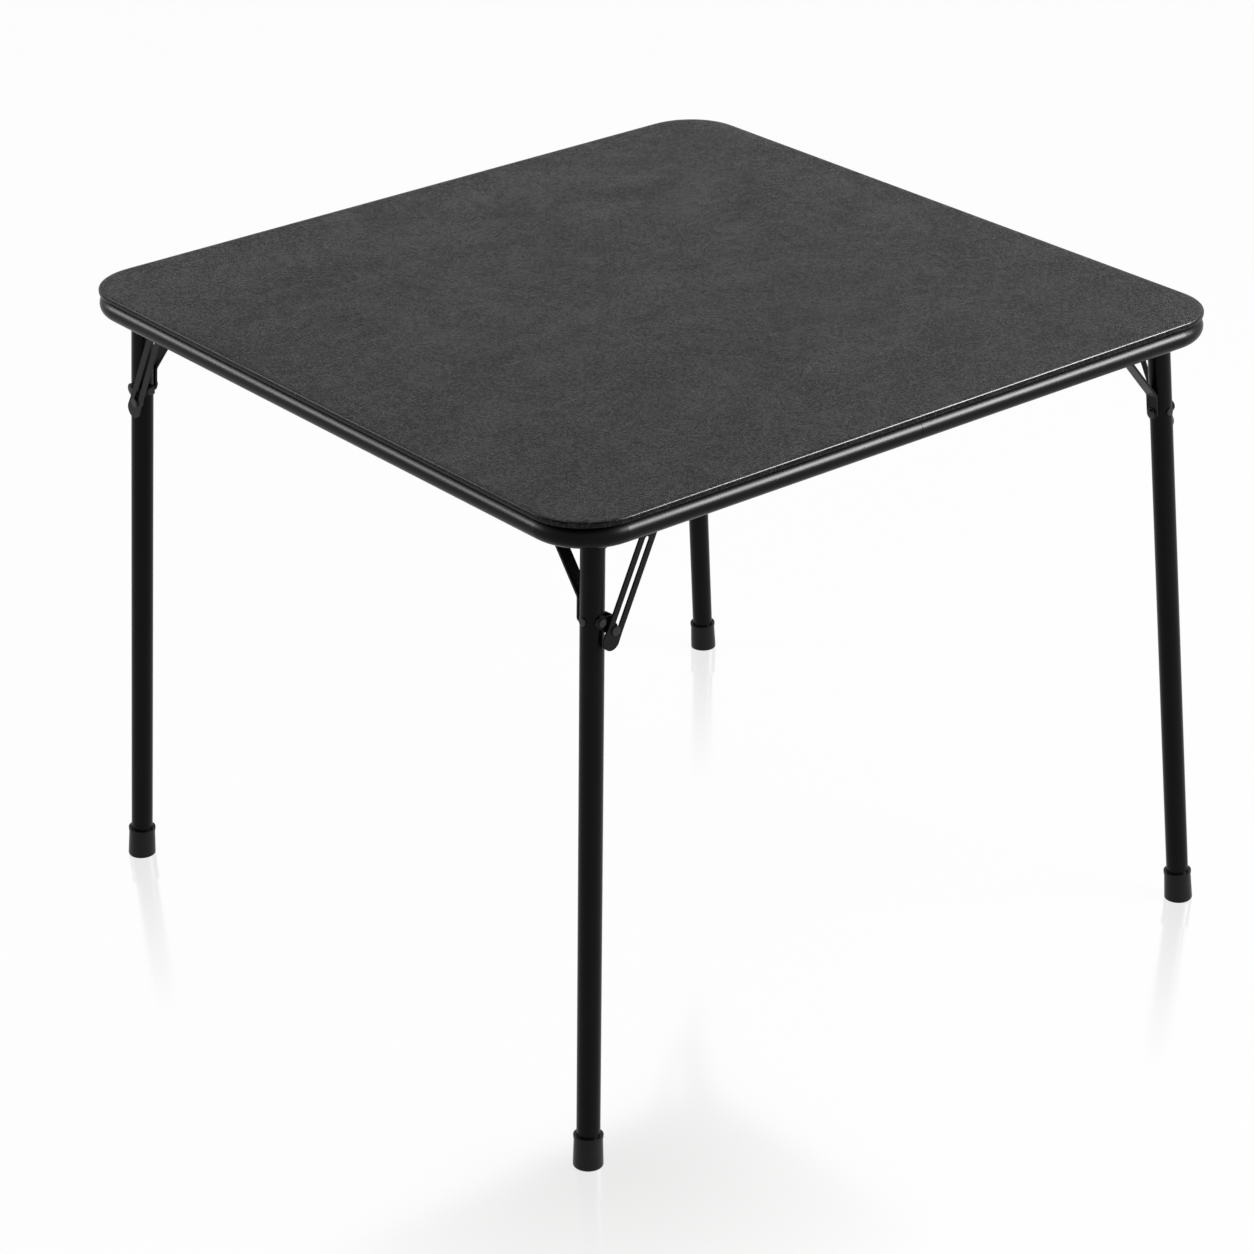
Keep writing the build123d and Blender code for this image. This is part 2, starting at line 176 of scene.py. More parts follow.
class Finishes(PropertyGroup):
    """Colours of the finishes."""

    vinyl: colour("Vinyl", "Charcoal vinyl", (0.0004, 0.0004, 0.0004))
    vinyl_worn: colour("Vinyl, lighter", "Paler mottling of the vinyl", (0.017, 0.017, 0.017))
    paint: colour("Tube paint", "Black powder coat", (0.0022, 0.0022, 0.0024))
    enamel: colour("Fitting enamel", "Black enamel of the fittings", (0.0035, 0.0035, 0.0037))
    steel: colour("Rivet steel", "Blackened steel of the rivets", (0.009, 0.009, 0.0093))
    zinc: colour("Screw zinc", "Zinc plate of the screws", (0.50, 0.50, 0.49))
    rubber: colour("Foot rubber", "Black rubber of the feet", (0.0032, 0.0032, 0.0032))
    board: colour("Board", "Hard fibreboard", (0.165, 0.088, 0.045))
    board_dark: colour("Board, darker", "Darker fibres of the board", (0.085, 0.043, 0.022))
    foam: colour("Foam", "Padding foam", (0.55, 0.50, 0.38))
    floor: colour("Floor", "Studio floor", (0.86, 0.86, 0.86))


class Studio(PropertyGroup):
    """Camera, lamps and floor."""

    place: FloatVectorProperty(
        name="Camera place", description="Where the camera stands",
        default=(-2.4222, -3.0124, 2.1800), subtype="TRANSLATION", unit="LENGTH", size=3,
    )
    yaw: angle("Yaw", "Heading, counted from X", 51.554)
    pitch: angle("Pitch", "How far it looks down", 25.813)
    roll: angle("Roll", "Tilt about the line of sight", -1.007)
    lens: FloatProperty(
        name="Lens", description="Focal length in millimetres", default=112.484, min=1,
    )
    ambient: share("Room light", "Strength of the room's own light", 0.35)
    key: power("Key lamp", "Soft lamp on the right", 135)
    fill: power("Fill lamp", "Soft lamp on the left", 38)
    tube_right: power("Tube gloss, right", "Highlights of the tubes from the right", 2000)
    tube_left: power("Tube gloss, left", "Highlights of the tubes from the left", 140)
    rim_right: power("Rim gloss, right", "Light line on the vinyl's edge from the right", 1050)
    rim_left: power("Rim gloss, left", "Light line on the vinyl's edge from the left", 75)
    floor_lift: share("Floor lift", "Share of plain white in the floor as it is seen", 0.96)
    floor_gloss: share("Floor gloss", "Share of mirror in the floor by the feet", 0.18)


# Shader expressions

class Value:
    """A shader socket that takes part in sums: each operator adds a Math node."""

    def __init__(self, socket):
        self.socket = socket

    def math(self, operation, *others, clamp=False):
        """One Math node with this socket and the others, in order."""
        node = self.socket.id_data.nodes.new("ShaderNodeMath")
        node.operation = operation
        node.use_clamp = clamp
        for slot, value in zip(node.inputs, (self, *others)):
            plug(slot, value)
        return Value(node.outputs[0])

    def __add__(self, other):
        return self.math("ADD", other)

    __radd__ = __add__

    def __mul__(self, other):
        return self.math("MULTIPLY", other)

    __rmul__ = __mul__

    def __sub__(self, other):
        return self.math("SUBTRACT", other)

    def __rsub__(self, other):
        return (self * -1) + other

    def clamped(self):
        """Kept between nought and one."""
        return self.math("ADD", 0, clamp=True)

    def size(self):
        """Without its sign."""
        return self.math("ABSOLUTE")

    def most(self, other):
        """The greater of two."""
        return self.math("MAXIMUM", other)

    def least(self, other):
        """The lesser of two."""
        return self.math("MINIMUM", other)

    def swing(self, amount):
        """A noise made to swing about nought by this amount."""
        return (self - 0.5) * amount

    def above(self, start, slope):
        """Nought up to a start, and from there up to one at a slope."""
        return ((self - start) * slope).clamped()


def plug(slot, value):
    """Links a socket, or sets a plain number, colour or vector."""
    if isinstance(value, Value):
        slot.id_data.links.new(value.socket, slot)
    elif getattr(slot, "type", "") == "RGBA" and len(value) == 3:
        slot.default_value = (*value, 1)
    else:
        slot.default_value = value


class Finish:
    """A material or world being made, with short ways to add its nodes."""

    def __init__(self, name, owners=None):
        self.material = (bpy.data.materials if owners is None else owners).new(name)
        self.material.use_nodes = True
        self.tree = self.material.node_tree
        self.tree.nodes.clear()

    def add(self, kind, settings=None, output=None, **sockets):
        """Any node: its type, then its settings, then the values or links of its sockets."""
        node = self.tree.nodes.new("ShaderNode" + kind)
        for key, value in (settings or {}).items():
            setattr(node, key, value)
        for key, value in sockets.items():
            plug(self.find(node.inputs, key), value)
        if not len(node.outputs):
            return None
        return Value(self.find(node.outputs, output) if output else node.outputs[0])

    @staticmethod
    def find(sockets, key):
        """The enabled socket whose name is the key, with spaces written as underscores."""
        for socket in sockets:
            if socket.enabled and key in (socket.name.replace(" ", "_"), socket.identifier):
                return socket
        raise KeyError(f"no socket {key} on this node")

    def place(self):
        """The piece's own coordinates, in metres."""
        return self.add("TexCoord", output="Object")

    def noise(self, scale, detail=2.0, roughness=0.5, vector=None, **more):
        """Even noise from nought to one, with about this many blots to the metre."""
        return self.add(
            "TexNoise", output="Fac", Vector=vector or self.place(), Scale=scale, Detail=detail,
            Roughness=roughness, **more,
        )

    def cells(self, feature, scale):
        """Distances in a pattern of cells, with about this many to the metre."""
        return self.add("TexVoronoi", {"feature": feature}, output="Distance",
                        Vector=self.place(), Scale=scale)

    def stretched(self, x, y, z):
        """The piece's coordinates, scaled along each axis."""
        return self.add("VectorMath", {"operation": "MULTIPLY"},
                        Vector=self.place(), Vector_001=(x, y, z))

    def rays(self):
        """Whether a ray comes from the camera, off something glossy or through glass."""
        return [self.add("LightPath", output=name) for name in
                ("Is_Camera_Ray", "Is_Glossy_Ray", "Is_Transmission_Ray")]

    def blend(self, factor, first, second):
        """A colour between two."""
        return self.add("Mix", {"data_type": "RGBA"}, output="Result_Color",
                        Factor_Float=factor, A_Color=first, B_Color=second)

    def shade(self, factor, first, second):
        """A shader between two."""
        return self.add("MixShader", output="Shader", Fac=factor, Shader=first, Shader_001=second)

    def bump(self, height, distance, strength=1.0):
        """A normal from a height, with its depth in metres."""
        return self.add("Bump", output="Normal",
                        Height=height, Distance=distance, Strength=strength)

    def close(self, **sockets):
        """The surface itself."""
        self.add("OutputMaterial", Surface=self.add("BsdfPrincipled", output="BSDF", **sockets))
        return self.material


def tint(base, factor):
    """A colour made lighter or darker."""
    return [part * factor for part in base]


def vinyl_finish(colours):
    """Charcoal vinyl: a smoky mottle, a fine leathery grain and a soft gloss."""
    f = Finish("charcoal_vinyl")
    drift = f.add("TexNoise", output="Color", Vector=f.place(), Scale=6.0, Detail=3.0)
    swirl = f.add("VectorMath", {"operation": "MULTIPLY_ADD"},
                  Vector=drift, Vector_001=(0.12, 0.12, 0.12), Vector_002=f.place())

    # From a hand's width down to the pores
    smoke = f.noise(13, detail=6, roughness=0.62, vector=swirl)
    blotch = f.noise(60, detail=5, roughness=0.7, vector=swirl, Distortion=0.6)
    wrinkle = f.noise(150, detail=5, roughness=0.7, vector=swirl, Distortion=1.0)
    fold = (1 - wrinkle.swing(7).size()).clamped()
    fleck = f.noise(340, detail=3, roughness=0.6)
    creases = (f.cells("DISTANCE_TO_EDGE", 560.0) * 3.2).clamped()
    pores = f.noise(1500, detail=3, roughness=0.6)

    tone = 0.48 + smoke.swing(1.4) + blotch.swing(4) + fleck.swing(9) - fold * 0.4
    grain = creases * 0.4 + pores * 0.3 + fleck * 1.2 - fold * 0.5
    rough = 0.33 + smoke.swing(0.22) + blotch.swing(0.3) + (1 - creases) * 0.05
    sheen = 0.55 + fleck.swing(7) - blotch.swing(3) - smoke.swing(2.2) - fold * 0.3

    # Where the sheet turns over the edge it is pulled smooth and shines more
    upright = f.add("SeparateXYZ", output="Z", Vector=f.add("TexCoord", output="Normal"))
    pulled = ((0.998 - upright) * 30).clamped()
    return f.close(
        Base_Color=f.blend(tone.clamped(), colours.vinyl, colours.vinyl_worn),
        Roughness=rough - pulled * 0.04,
        Specular_IOR_Level=0.07,
        Coat_Weight=sheen.clamped() * 0.15 * (1 - pulled) + pulled * 0.12,
        Coat_Roughness=0.22,
        Normal=f.bump(grain * (1 - pulled), 0.0004),
    )


def paint_finish(colours):
    """Black powder coat with a faint orange peel."""
    f = Finish("black_powder_coat")
    peel = f.noise(420, detail=2)
    speck = f.noise(2600, detail=1)
    cloud = f.noise(16, detail=3)
    return f.close(
        Base_Color=f.blend(cloud.above(0.4, 1.6), colours.paint, tint(colours.paint, 1.5)),
        Roughness=0.31 + cloud.swing(0.08) + speck.swing(0.03),
        Specular_IOR_Level=0.08,
        Normal=f.bump(peel + speck * 0.3, 0.00001, 0.3),
    )


def enamel_finish(colours):
    """Black enamel on pressed sheet, a little duller than the tubes."""
    f = Finish("black_enamel")
    peel = f.noise(520, detail=3)
    cloud = f.noise(30, detail=3)
    rub = f.noise(95, detail=5, roughness=0.7).above(0.62, 7)
    return f.close(
        Base_Color=f.blend(rub * 0.35, colours.enamel, tint(colours.enamel, 3)),
        Roughness=0.34 + cloud.swing(0.14) + rub * 0.08,
        Specular_IOR_Level=0.13,
        Normal=f.bump(peel, 0.00002, 0.3),
    )


def rivet_finish(colours):
    """Blackened steel, rubbed brighter here and there."""
    f = Finish("blackened_steel")
    rub = f.noise(260, detail=4, roughness=0.65).above(0.42, 3)
    scratch = f.noise(1, detail=3, vector=f.stretched(1400, 260, 260))
    return f.close(
        Base_Color=f.blend(rub, colours.steel, tint(colours.steel, 3.2)),
        Roughness=0.30 + scratch.swing(0.22),
        Specular_IOR_Level=0.3,
        Metallic=0.05 + rub * 0.4,
        Normal=f.bump(scratch, 0.00003, 0.5),
    )


def zinc_finish(colours):
    """Zinc plate with a fine spangle and dull stains."""
    f = Finish("zinc_plate")
    spangle = f.noise(900, detail=3)
    stain = f.noise(210, detail=4).above(0.5, 3)
    return f.close(
        Base_Color=f.blend(stain * 0.5, colours.zinc, tint(colours.zinc, 0.55)),
        Roughness=0.32 + spangle.swing(0.2) + stain * 0.1,
        Metallic=1.0,
        Normal=f.bump(spangle, 0.00002, 0.5),
    )


def rubber_finish(colours):
    """Moulded rubber with a dusty bloom."""
    f = Finish("moulded_rubber")
    bloom = f.noise(85, detail=5, roughness=0.65).above(0.45, 2.4)
    skin = f.noise(1800, detail=2)
    return f.close(
        Base_Color=f.blend(bloom * 0.6, colours.rubber, tint(colours.rubber, 1.9)),
        Roughness=0.42 + bloom.swing(0.14) + skin.swing(0.08),
        Specular_IOR_Level=0.15,
        Normal=f.bump(skin, 0.00006, 0.6),
    )


def board_finish(colours):
    """Hard fibreboard: short matted fibres and the print of the press's wire screen."""
    f = Finish("fibreboard")
    mesh_pitch = 0.0022
    turns = 2 * math.pi / mesh_pitch
    print_x, print_y = [
        (f.add("SeparateXYZ", output=axis, Vector=f.place()) * turns).math("SINE")
        for axis in ("X", "Y")
    ]
    screen = print_x * print_y
    fibres, cross = [
        f.noise(1, detail=5, roughness=0.7, vector=f.stretched(*scales), Distortion=2.0)
        for scales in ((420, 90, 420), (90, 420, 420))
    ]
    flecks = f.noise(260, detail=4, roughness=0.7).above(0.6, 5)
    stain = f.noise(7, detail=4, roughness=0.6)
    matted = (fibres * 0.5 + cross * 0.5 - 0.25) * 1.9
    tone = matted + screen * 0.12 + stain.swing(0.9) + flecks * 0.4
    return f.close(
        Base_Color=f.blend(tone.clamped(), colours.board_dark, colours.board),
        Roughness=0.62 + fibres.swing(0.2),
        Normal=f.bump(fibres + cross + screen * 0.6, 0.00015, 0.6),
    )


def foam_finish(colours):
    """Open foam with small cells."""
    f = Finish("padding_foam")
    cells = f.cells("F1", 900.0)
    return f.close(
        Base_Color=f.blend((cells * 1.3).clamped(), colours.foam, tint(colours.foam, 0.6)),
        Roughness=0.9 - cells * 0.1,
        Normal=f.bump(cells, 0.0003, 0.8),
    )


def floor_finish(colours, lift, gloss_share):
    """Pale floor, lifted to white as it is seen, that keeps the shadow and mirrors the feet."""
    f = Finish("pale_floor")
    faint = f.noise(3, detail=3)
    surface = f.add(
        "BsdfPrincipled", output="BSDF", Base_Color=colours.floor,
        Roughness=0.5 + faint.swing(0.04), Specular_IOR_Level=0.2,
    )
    white = f.add("Emission", output="Emission", Color=WHITE, Strength=1.0)
    camera, glossy, through = f.rays()
    seen = camera.most(glossy).most(through)
    lit = f.shade(seen * lift, surface, white)

    # The polish fades away from the feet
    reach = None
    for foot in each_corner("foot"):
        low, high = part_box(foot)
        middle = ((low[0] + high[0]) / 2, (low[1] + high[1]) / 2, 0)
        away = f.add("VectorMath", {"operation": "DISTANCE"}, output="Value",
                     Vector=f.place(), Vector_001=middle)
        reach = away if reach is None else reach.least(away)
    polish = (1.1 - reach * 3).clamped() * gloss_share
    gloss = f.add("BsdfGlossy", output="BSDF", Color=WHITE, Roughness=0.11)
    polished = f.shade(camera * polish, lit, gloss)

    # It can be looked through from below
    below = f.add("NewGeometry", output="Backfacing")
    clear = f.add("BsdfTransparent", output="BSDF")
    f.add("OutputMaterial", Surface=f.shade(below, polished, clear))
    return f.material


def each_corner(*stems):
    """The node names of every corner for these stems."""
    return [f"{stem}_{corner}" for stem in stems for corner in CORNERS]


def coat(names, material):
    """Gives CAD nodes a finish by their own material slots."""
    for name in names:
        slots = nodes[name].material_slots
        if not len(slots):
            raise RuntimeError(f"{name} has no material slot to coat")
        for slot in slots:
            slot.material = material


# Meshes

def mesh_of(name, data):
    """A mesh from mesh data, which is freed."""
    mesh = bpy.data.meshes.new(name)
    data.to_mesh(mesh)
    data.free()
    return mesh


def new_object(name, data, material):
    """A smooth-shaded object in the scene with one finish."""
    mesh = mesh_of(name, data)
    mesh.materials.append(material)
    mesh.shade_smooth()
    made = bpy.data.objects.new(name, mesh)
    bpy.context.scene.collection.objects.link(made)
    return made


def join_rings(data, first, second):
    """Faces between two rings of as many points."""
    count = len(first)
    for i in range(count):
        j = (i + 1) % count
        data.faces.new((first[i], first[j], second[j], second[i]))


def outline(half, radius):
    """Points once round a square with rounded corners, anticlockwise."""
    points = []
    middle = half - radius
    for quarter in range(4):
        turn = Matrix.Rotation(quarter * math.pi / 2, 2)
        for step in range(CORNER_STEPS + 1):
            bend = -math.pi / 2 + step / CORNER_STEPS * math.pi / 2
            spot = Vector((middle + radius * math.cos(bend), -middle + radius * math.sin(bend)))
            points.append(turn @ spot)
        for step in range(1, SIDE_STEPS):
            spot = Vector((half, -middle + 2 * middle * step / SIDE_STEPS))
            points.append(turn @ spot)
    return points


def arc(centre, radius, start, end, steps):
    """Points (inset, height) on part of a circle, with angles in degrees."""
    spots = []
    for step in range(steps + 1):
        bend = math.radians(start + (end - start) * step / steps)
        spots.append((centre[0] - radius * math.cos(bend), centre[1] + radius * math.sin(bend)))
    return spots


def ringed_shell(profile, half, radius, lift):
    """A closed shell from rings: each (inset, height) of the profile is one rounded square."""
    data = bmesh.new()
    rings = []
    for inset, height in profile:
        corner = max(radius - inset, LEAST_CORNER)
        rings.append([data.verts.new((p.x, p.y, height + lift(p, inset)))
                      for p in outline(half - inset, corner)])
    for first, second in zip(rings, rings[1:]):
        join_rings(data, first, second)
    count = len(rings[0])
    for ring, flip in ((rings[0], True), (rings[-1], False)):
        middle = data.verts.new(sum((v.co for v in ring), Vector()) / count)
        for i in range(count):
            j = (i + 1) % count
            data.faces.new((ring[j], ring[i], middle) if flip else (ring[i], ring[j], middle))
    bmesh.ops.recalc_face_normals(data, faces=data.faces)
    return data


def sheet_profile(top, offset):
    """Insets and heights of one face of the sheet, from the middle to the lap's end."""
    def drawn(inset):
        """How far the surface is pressed down, counted from where the edge starts to roll."""
        t = max(0.0, 1 - inset / top.draw_reach)
        return top.edge_draw * t * t

    bottom = top.height - top.slab
    middle = top.side / 2 - INNER_RING
    wide = [middle - (middle - top.top_round) * i / FLAT_ROWS for i in range(FLAT_ROWS)]
    wide = [inset for inset in wide if inset > top.top_round + top.draw_reach + ROW_ROOM]
    near = [top.top_round + top.draw_reach * (1 - i / EDGE_ROWS) for i in range(EDGE_ROWS + 1)]
    line = [(inset, top.height - offset - drawn(inset - top.top_round)) for inset in wide + near]
    high = (top.top_round, top.height - top.top_round - top.edge_draw)
    low = (top.bottom_round, bottom + top.bottom_round)
    line += arc(high, top.top_round - offset, 90, 0, TOP_ROLL_STEPS)[1:]
    line += arc(low, top.bottom_round - offset, 0, -90, BOTTOM_ROLL_STEPS)
    line += [(top.bottom_round + (top.lap - top.bottom_round) * i / LAP_ROWS, bottom + offset)
             for i in range(1, LAP_ROWS + 1)]
    return line


class CARDTABLE_OT_stretch_vinyl(Operator):
    """Stretches the vinyl over the foam and in under the board"""

    bl_idname = "card_table.stretch_vinyl"
    bl_label = "Stretch the vinyl"

    def execute(self, context):
        top = context.scene.card_table_top

        def ripple(point, inset):
            """Faint unevenness of the foam, which dies out at the edge."""
            fade = min(1.0, max(0.0, (inset - top.top_round) / RIPPLE_FADE))
            spot = (point.x * RIPPLES_PER_METRE, point.y * RIPPLES_PER_METRE, RIPPLE_SLICE)
            return top.ripple * fade * noise.noise(Vector(spot))

        profile = sheet_profile(top, 0.0) + sheet_profile(top, top.vinyl)[::-1]
        data = ringed_shell(profile, top.side / 2, top.corner_radius, ripple)
        cover = new_object("vinyl_top", data, vinyl_finish(context.scene.card_table_finishes))
        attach(cover, "frame")
        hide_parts("vinyl_cover")
        return {"FINISHED"}


class CARDTABLE_OT_lay_foam(Operator):
    """Lays the thin foam between the board and the vinyl"""

    bl_idname = "card_table.lay_foam"
    bl_label = "Lay the foam"

    def execute(self, context):
        top = context.scene.card_table_top
        high = top.height - top.vinyl - top.ripple - FOAM_PLAY
        low = high - top.foam + top.ripple + FOAM_PLAY * 2
        edge, draw = top.top_round, top.edge_draw
        line = [(edge + FOAM_INNER, high), (edge + FOAM_PRESSED, high - draw * 0.2),
                (edge, high - draw), (edge - FOAM_BULGE, (high + low) / 2 - draw / 2),
                (edge, low), (edge + FOAM_INNER, low)]
        data = ringed_shell(line, top.side / 2, top.corner_radius, lambda point, inset: 0.0)
        foam = new_object("foam_layer", data, foam_finish(context.scene.card_table_finishes))
        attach(foam, "frame")
        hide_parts("foam_pad")
        return {"FINISHED"}


class CARDTABLE_OT_finish_board(Operator):
    """Gives the fibreboard its finish"""

    bl_idname = "card_table.finish_board"
    bl_label = "Finish the board"

    def execute(self, context):
        coat(["top_board"], board_finish(context.scene.card_table_finishes))
        return {"FINISHED"}


class CARDTABLE_OT_coat_tubes(Operator):
    """Powder-coats the rail, its splice and the legs"""

    bl_idname = "card_table.coat_tubes"
    bl_label = "Coat the tubes"

    def execute(self, context):
        material = paint_finish(context.scene.card_table_finishes)
        coat([*RAIL, *each_corner("leg")], material)
        return {"FINISHED"}


class CARDTABLE_OT_enamel_fittings(Operator):
    """Enamels the hinge brackets, straps, clips and slotted braces"""

    bl_idname = "card_table.enamel_fittings"
    bl_label = "Enamel the fittings"

    def execute(self, context):
        coat(each_corner(*FITTINGS), enamel_finish(context.scene.card_table_finishes))
        return {"FINISHED"}


class CARDTABLE_OT_finish_rivets(Operator):
    """Finishes the rivets, pins, studs and pivots"""

    bl_idname = "card_table.finish_rivets"
    bl_label = "Finish the rivets"

    def execute(self, context):
        coat(each_corner(*RIVETS), rivet_finish(context.scene.card_table_finishes))
        return {"FINISHED"}


def screw_blank(fastener):
    """A pan-head screw without its recess; the head hangs below Z = 0 and the shank goes up."""
    head, shank = fastener.head / 2, fastener.shank / 2
    bends = [math.radians(90 * step / CROWN_STEPS) for step in range(CROWN_STEPS + 1)]
    line = [(head * math.sin(bend),
             -fastener.head_depth * (RIM_SHARE + (1 - RIM_SHARE) * math.cos(bend)))
            for bend in bends]
    line += [(head, 0), (shank + SHANK_CHAMFER, 0), (shank, SHANK_CHAMFER), (shank, BLANK_LENGTH)]
    screw = bmesh.new()
    turns = [2 * math.pi * i / SCREW_SIDES for i in range(SCREW_SIDES)]
    rings = [[screw.verts.new((r * math.cos(turn), r * math.sin(turn), z)) for turn in turns]
             for r, z in line[1:]]
    for first, second in zip(rings, rings[1:]):
        join_rings(screw, first, second)
    middle = screw.verts.new((0, 0, line[0][1]))
    for i in range(SCREW_SIDES):
        screw.faces.new((rings[0][(i + 1) % SCREW_SIDES], rings[0][i], middle))
    screw.faces.new(rings[-1])
    bmesh.ops.recalc_face_normals(screw, faces=screw.faces)
    return screw


def recess_cutter(fastener):
    """Two crossed blocks that narrow into the head."""
    cutter = bmesh.new()
    for long_way in (False, True):
        for vert in bmesh.ops.create_cube(cutter, size=1)["verts"]:
            taper = RECESS_TAPER if vert.co.z > 0 else 1.0
            along = vert.co.x * fastener.recess * taper
            across = vert.co.y * fastener.recess * RECESS_WIDTH
            height = vert.co.z * RECESS_CUT - fastener.head_depth
            vert.co = (across, along, height) if long_way else (along, across, height)
    bmesh.ops.recalc_face_normals(cutter, faces=cutter.faces)
    return cutter


def cross_head_screw(fastener):
    """The mesh data of one screw with its cross recess cut."""
    holder = bpy.data.objects.new("screw_blank", mesh_of("screw_blank", screw_blank(fastener)))
    knife = bpy.data.objects.new("screw_recess", mesh_of("screw_recess", recess_cutter(fastener)))
    for item in (holder, knife):
        bpy.context.scene.collection.objects.link(item)
    cut = holder.modifiers.new("recess", "BOOLEAN")
    cut.operation = "DIFFERENCE"
    cut.solver = "EXACT"
    cut.use_self = True
    cut.object = knife
    graph = bpy.context.evaluated_depsgraph_get()
    result = bmesh.new()
    result.from_mesh(holder.evaluated_get(graph).to_mesh())
    for item in (holder, knife):
        bpy.data.objects.remove(item)
    return result


def screw_boxes(node, apart):
    """The lowest and highest corner of each screw in a node, in order of place."""
    boxes = []
    for vert in nodes[node].data.vertices:
        for low, high in boxes:
            if all(low[i] - apart < vert.co[i] < high[i] + apart for i in range(2)):
                for i in range(3):
                    low[i], high[i] = min(low[i], vert.co[i]), max(high[i], vert.co[i])
                break
        else:
            boxes.append((vert.co.copy(), vert.co.copy()))
    if not boxes:
        raise RuntimeError(f"{node} holds no screws")
    return sorted(boxes, key=lambda box: tuple(round(value, 3) for value in box[0]))


class CARDTABLE_OT_drive_screws(Operator):
    """Puts a cross-head screw in the place of each plain one"""

    bl_idname = "card_table.drive_screws"
    bl_label = "Drive the screws"

    def execute(self, context):
        fastener = context.scene.card_table_screws
        finish = zinc_finish(context.scene.card_table_finishes)
        pattern = cross_head_screw(fastener)
        for node, name in (("rail_screws", "rail_cross_screws"),
                           ("bracket_screws", "bracket_cross_screws")):
            data = bmesh.new()
            for index, (low, high) in enumerate(screw_boxes(node, fastener.head / 2)):
                seat = low.z + fastener.head_depth
                turn = Matrix.Rotation(index * SCREW_TURN, 3, "Z")
                middle = Vector(((low.x + high.x) / 2, (low.y + high.y) / 2, seat))
                made = {}
                for vert in pattern.verts:
                    spot = turn @ vert.co
                    spot.z = min(spot.z, high.z - seat)
                    made[vert] = data.verts.new(spot + middle)
                for face in pattern.faces:
                    data.faces.new([made[vert] for vert in face.verts])
            screws = new_object(name, data, finish)
            screws.data.set_sharp_from_angle(angle=SHARP_EDGE)
            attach(screws, "frame")
            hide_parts(node)
        pattern.free()
        return {"FINISHED"}


class CARDTABLE_OT_finish_feet(Operator):
    """Gives the feet their rubber"""

    bl_idname = "card_table.finish_feet"
    bl_label = "Finish the feet"

    def execute(self, context):
        coat(each_corner("foot"), rubber_finish(context.scene.card_table_finishes))
        return {"FINISHED"}


# The studio

def area_lamp(name, watts):
    """A soft rectangular lamp that faces the table and isn't seen itself."""
    place, width, height = LAMPS[name]
    lamp = bpy.data.lights.new(name, "AREA")
    lamp.shape = "RECTANGLE"
    lamp.size = width
    lamp.size_y = height
    lamp.energy = watts
    holder = bpy.data.objects.new(name, lamp)
    holder.location = place
    ahead = Vector(LAMPS_AIM) - Vector(place)
    holder.rotation_euler = ahead.to_track_quat("-Z", "Y").to_euler()
    holder.visible_camera = False
    bpy.context.scene.collection.objects.link(holder)
    return holder


def shine_on(lamp, pieces):
    """Makes a lamp one for gloss alone, on these pieces."""
    lamp.visible_diffuse = False
    group = bpy.data.collections.new(lamp.name + "_pieces")
    for piece in pieces:
        group.objects.link(piece)
    lamp.light_linking.receiver_collection = group


def room_light(strength):
    """Plain soft light, white to the camera and in mirrors but for a dim part overhead."""
    f = Finish("studio_room", bpy.data.worlds)
    camera, glossy, through = f.rays()
    rise = f.add("SeparateXYZ", output="Z", Vector=f.add("TexCoord", output="Generated"))
    overhead = rise.above(0.57, 7)
    mirrored = glossy * (1 - overhead * 0.9)
    seen = camera.most(mirrored).most(through)
    soft, white, dark = [
        f.add("Background", output="Background", Color=WHITE, Strength=level)
        for level in (strength, 1.0, 0.05)
    ]
    plain = f.shade(glossy, soft, dark)
    f.add("OutputWorld", Surface=f.shade(seen, plain, white))
    bpy.context.scene.world = f.material


def lay_floor(finishes, studio):
    """One wide sheet of floor, which isn't part of the table."""
    data = bmesh.new()
    data.faces.new([data.verts.new((x * FLOOR_REACH, y * FLOOR_REACH, 0))
                    for x, y in ((-1, -1), (1, -1), (1, 1), (-1, 1))])
    finish = floor_finish(finishes, studio.floor_lift, studio.floor_gloss)
    floor = new_object("studio_floor", data, finish)


def stand_camera(studio):
    """The scene's camera, from its place, heading, tilt and roll."""
    yaw, pitch, roll = studio.yaw, studio.pitch, studio.roll
    ahead = Vector((math.cos(yaw) * math.cos(pitch), math.sin(yaw) * math.cos(pitch),
                    -math.sin(pitch)))
    level = Vector((math.sin(yaw), -math.cos(yaw), 0))
    upright = level.cross(ahead)
    right = level * math.cos(roll) + upright * math.sin(roll)
    up = upright * math.cos(roll) - level * math.sin(roll)
    data = bpy.data.cameras.new("camera")
    data.sensor_width = SENSOR_WIDTH
    data.lens = studio.lens
    data.clip_end = VIEW_DEPTH
    camera = bpy.data.objects.new("camera", data)
    turn = Matrix((right, up, -ahead)).transposed().to_4x4()
    camera.matrix_world = Matrix.Translation(studio.place) @ turn
    bpy.context.scene.collection.objects.link(camera)
    bpy.context.scene.camera = camera


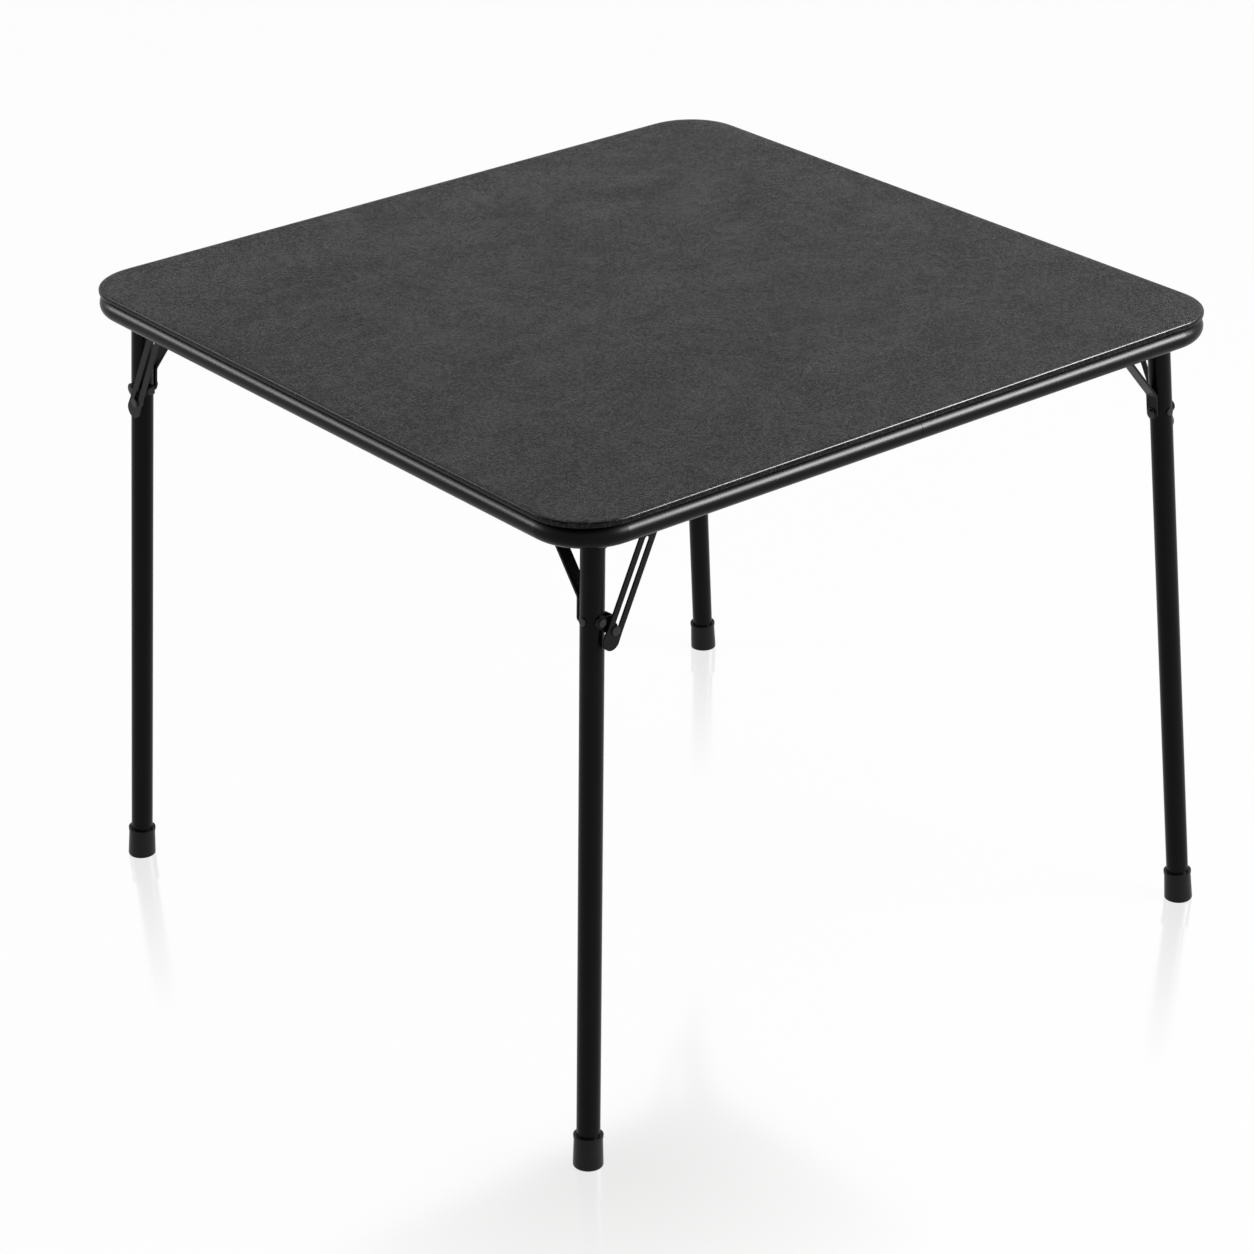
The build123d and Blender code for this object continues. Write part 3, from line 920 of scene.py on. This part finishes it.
class CARDTABLE_OT_set_stage(Operator):
    """Sets up the floor, the lamps and the camera"""

    bl_idname = "card_table.set_stage"
    bl_label = "Set the stage"

    def execute(self, context):
        studio = context.scene.card_table_studio
        lay_floor(context.scene.card_table_finishes, studio)
        room_light(studio.ambient)
        for name, watts in (("lamp_right", studio.key), ("lamp_left", studio.fill)):
            area_lamp(name, watts).visible_glossy = False
        tubes = [nodes[name] for name in (*RAIL, *each_corner("leg", "foot"))]
        vinyl = [bpy.data.objects["vinyl_top"]]
        for name, watts, pieces in (
            ("glint_right", studio.tube_right, tubes),
            ("glint_left", studio.tube_left, tubes),
            ("rim_glint_right", studio.rim_right, vinyl),
            ("rim_glint_left", studio.rim_left, vinyl),
        ):
            shine_on(area_lamp(name, watts), pieces)
        context.scene.view_settings.view_transform = "Standard"
        stand_camera(studio)
        return {"FINISHED"}


class CARDTABLE_PT_sidebar(Panel):
    """Sizes, finishes and steps of the card table"""

    bl_idname = "CARDTABLE_PT_sidebar"
    bl_label = "Card table"
    bl_space_type = "VIEW_3D"
    bl_region_type = "UI"
    bl_category = "Card table"

    def draw(self, context):
        scene = context.scene
        for group in (scene.card_table_top, scene.card_table_screws, scene.card_table_finishes,
                      scene.card_table_studio):
            box = self.layout.box()
            for key in group.__annotations__:
                box.prop(group, key)
        for operator in OPERATORS:
            self.layout.operator(operator.bl_idname)


OPERATORS = (
    CARDTABLE_OT_stretch_vinyl,
    CARDTABLE_OT_lay_foam,
    CARDTABLE_OT_finish_board,
    CARDTABLE_OT_coat_tubes,
    CARDTABLE_OT_enamel_fittings,
    CARDTABLE_OT_finish_rivets,
    CARDTABLE_OT_drive_screws,
    CARDTABLE_OT_finish_feet,
    CARDTABLE_OT_set_stage,
)
CLASSES = (TopSizes, ScrewSizes, Finishes, Studio, *OPERATORS, CARDTABLE_PT_sidebar)


def register():
    for item in CLASSES:
        bpy.utils.register_class(item)
    bpy.types.Scene.card_table_top = PointerProperty(type=TopSizes)
    bpy.types.Scene.card_table_screws = PointerProperty(type=ScrewSizes)
    bpy.types.Scene.card_table_finishes = PointerProperty(type=Finishes)
    bpy.types.Scene.card_table_studio = PointerProperty(type=Studio)


def unregister():
    del bpy.types.Scene.card_table_studio
    del bpy.types.Scene.card_table_finishes
    del bpy.types.Scene.card_table_screws
    del bpy.types.Scene.card_table_top
    for item in reversed(CLASSES):
        bpy.utils.unregister_class(item)


def main():
    register()
    steps = bpy.ops.card_table
    steps.stretch_vinyl()
    steps.lay_foam()
    steps.finish_board()
    steps.coat_tubes()
    steps.enamel_fittings()
    steps.finish_rivets()
    steps.drive_screws()
    steps.finish_feet()
    steps.set_stage()


if __name__ == "__main__":
    main()
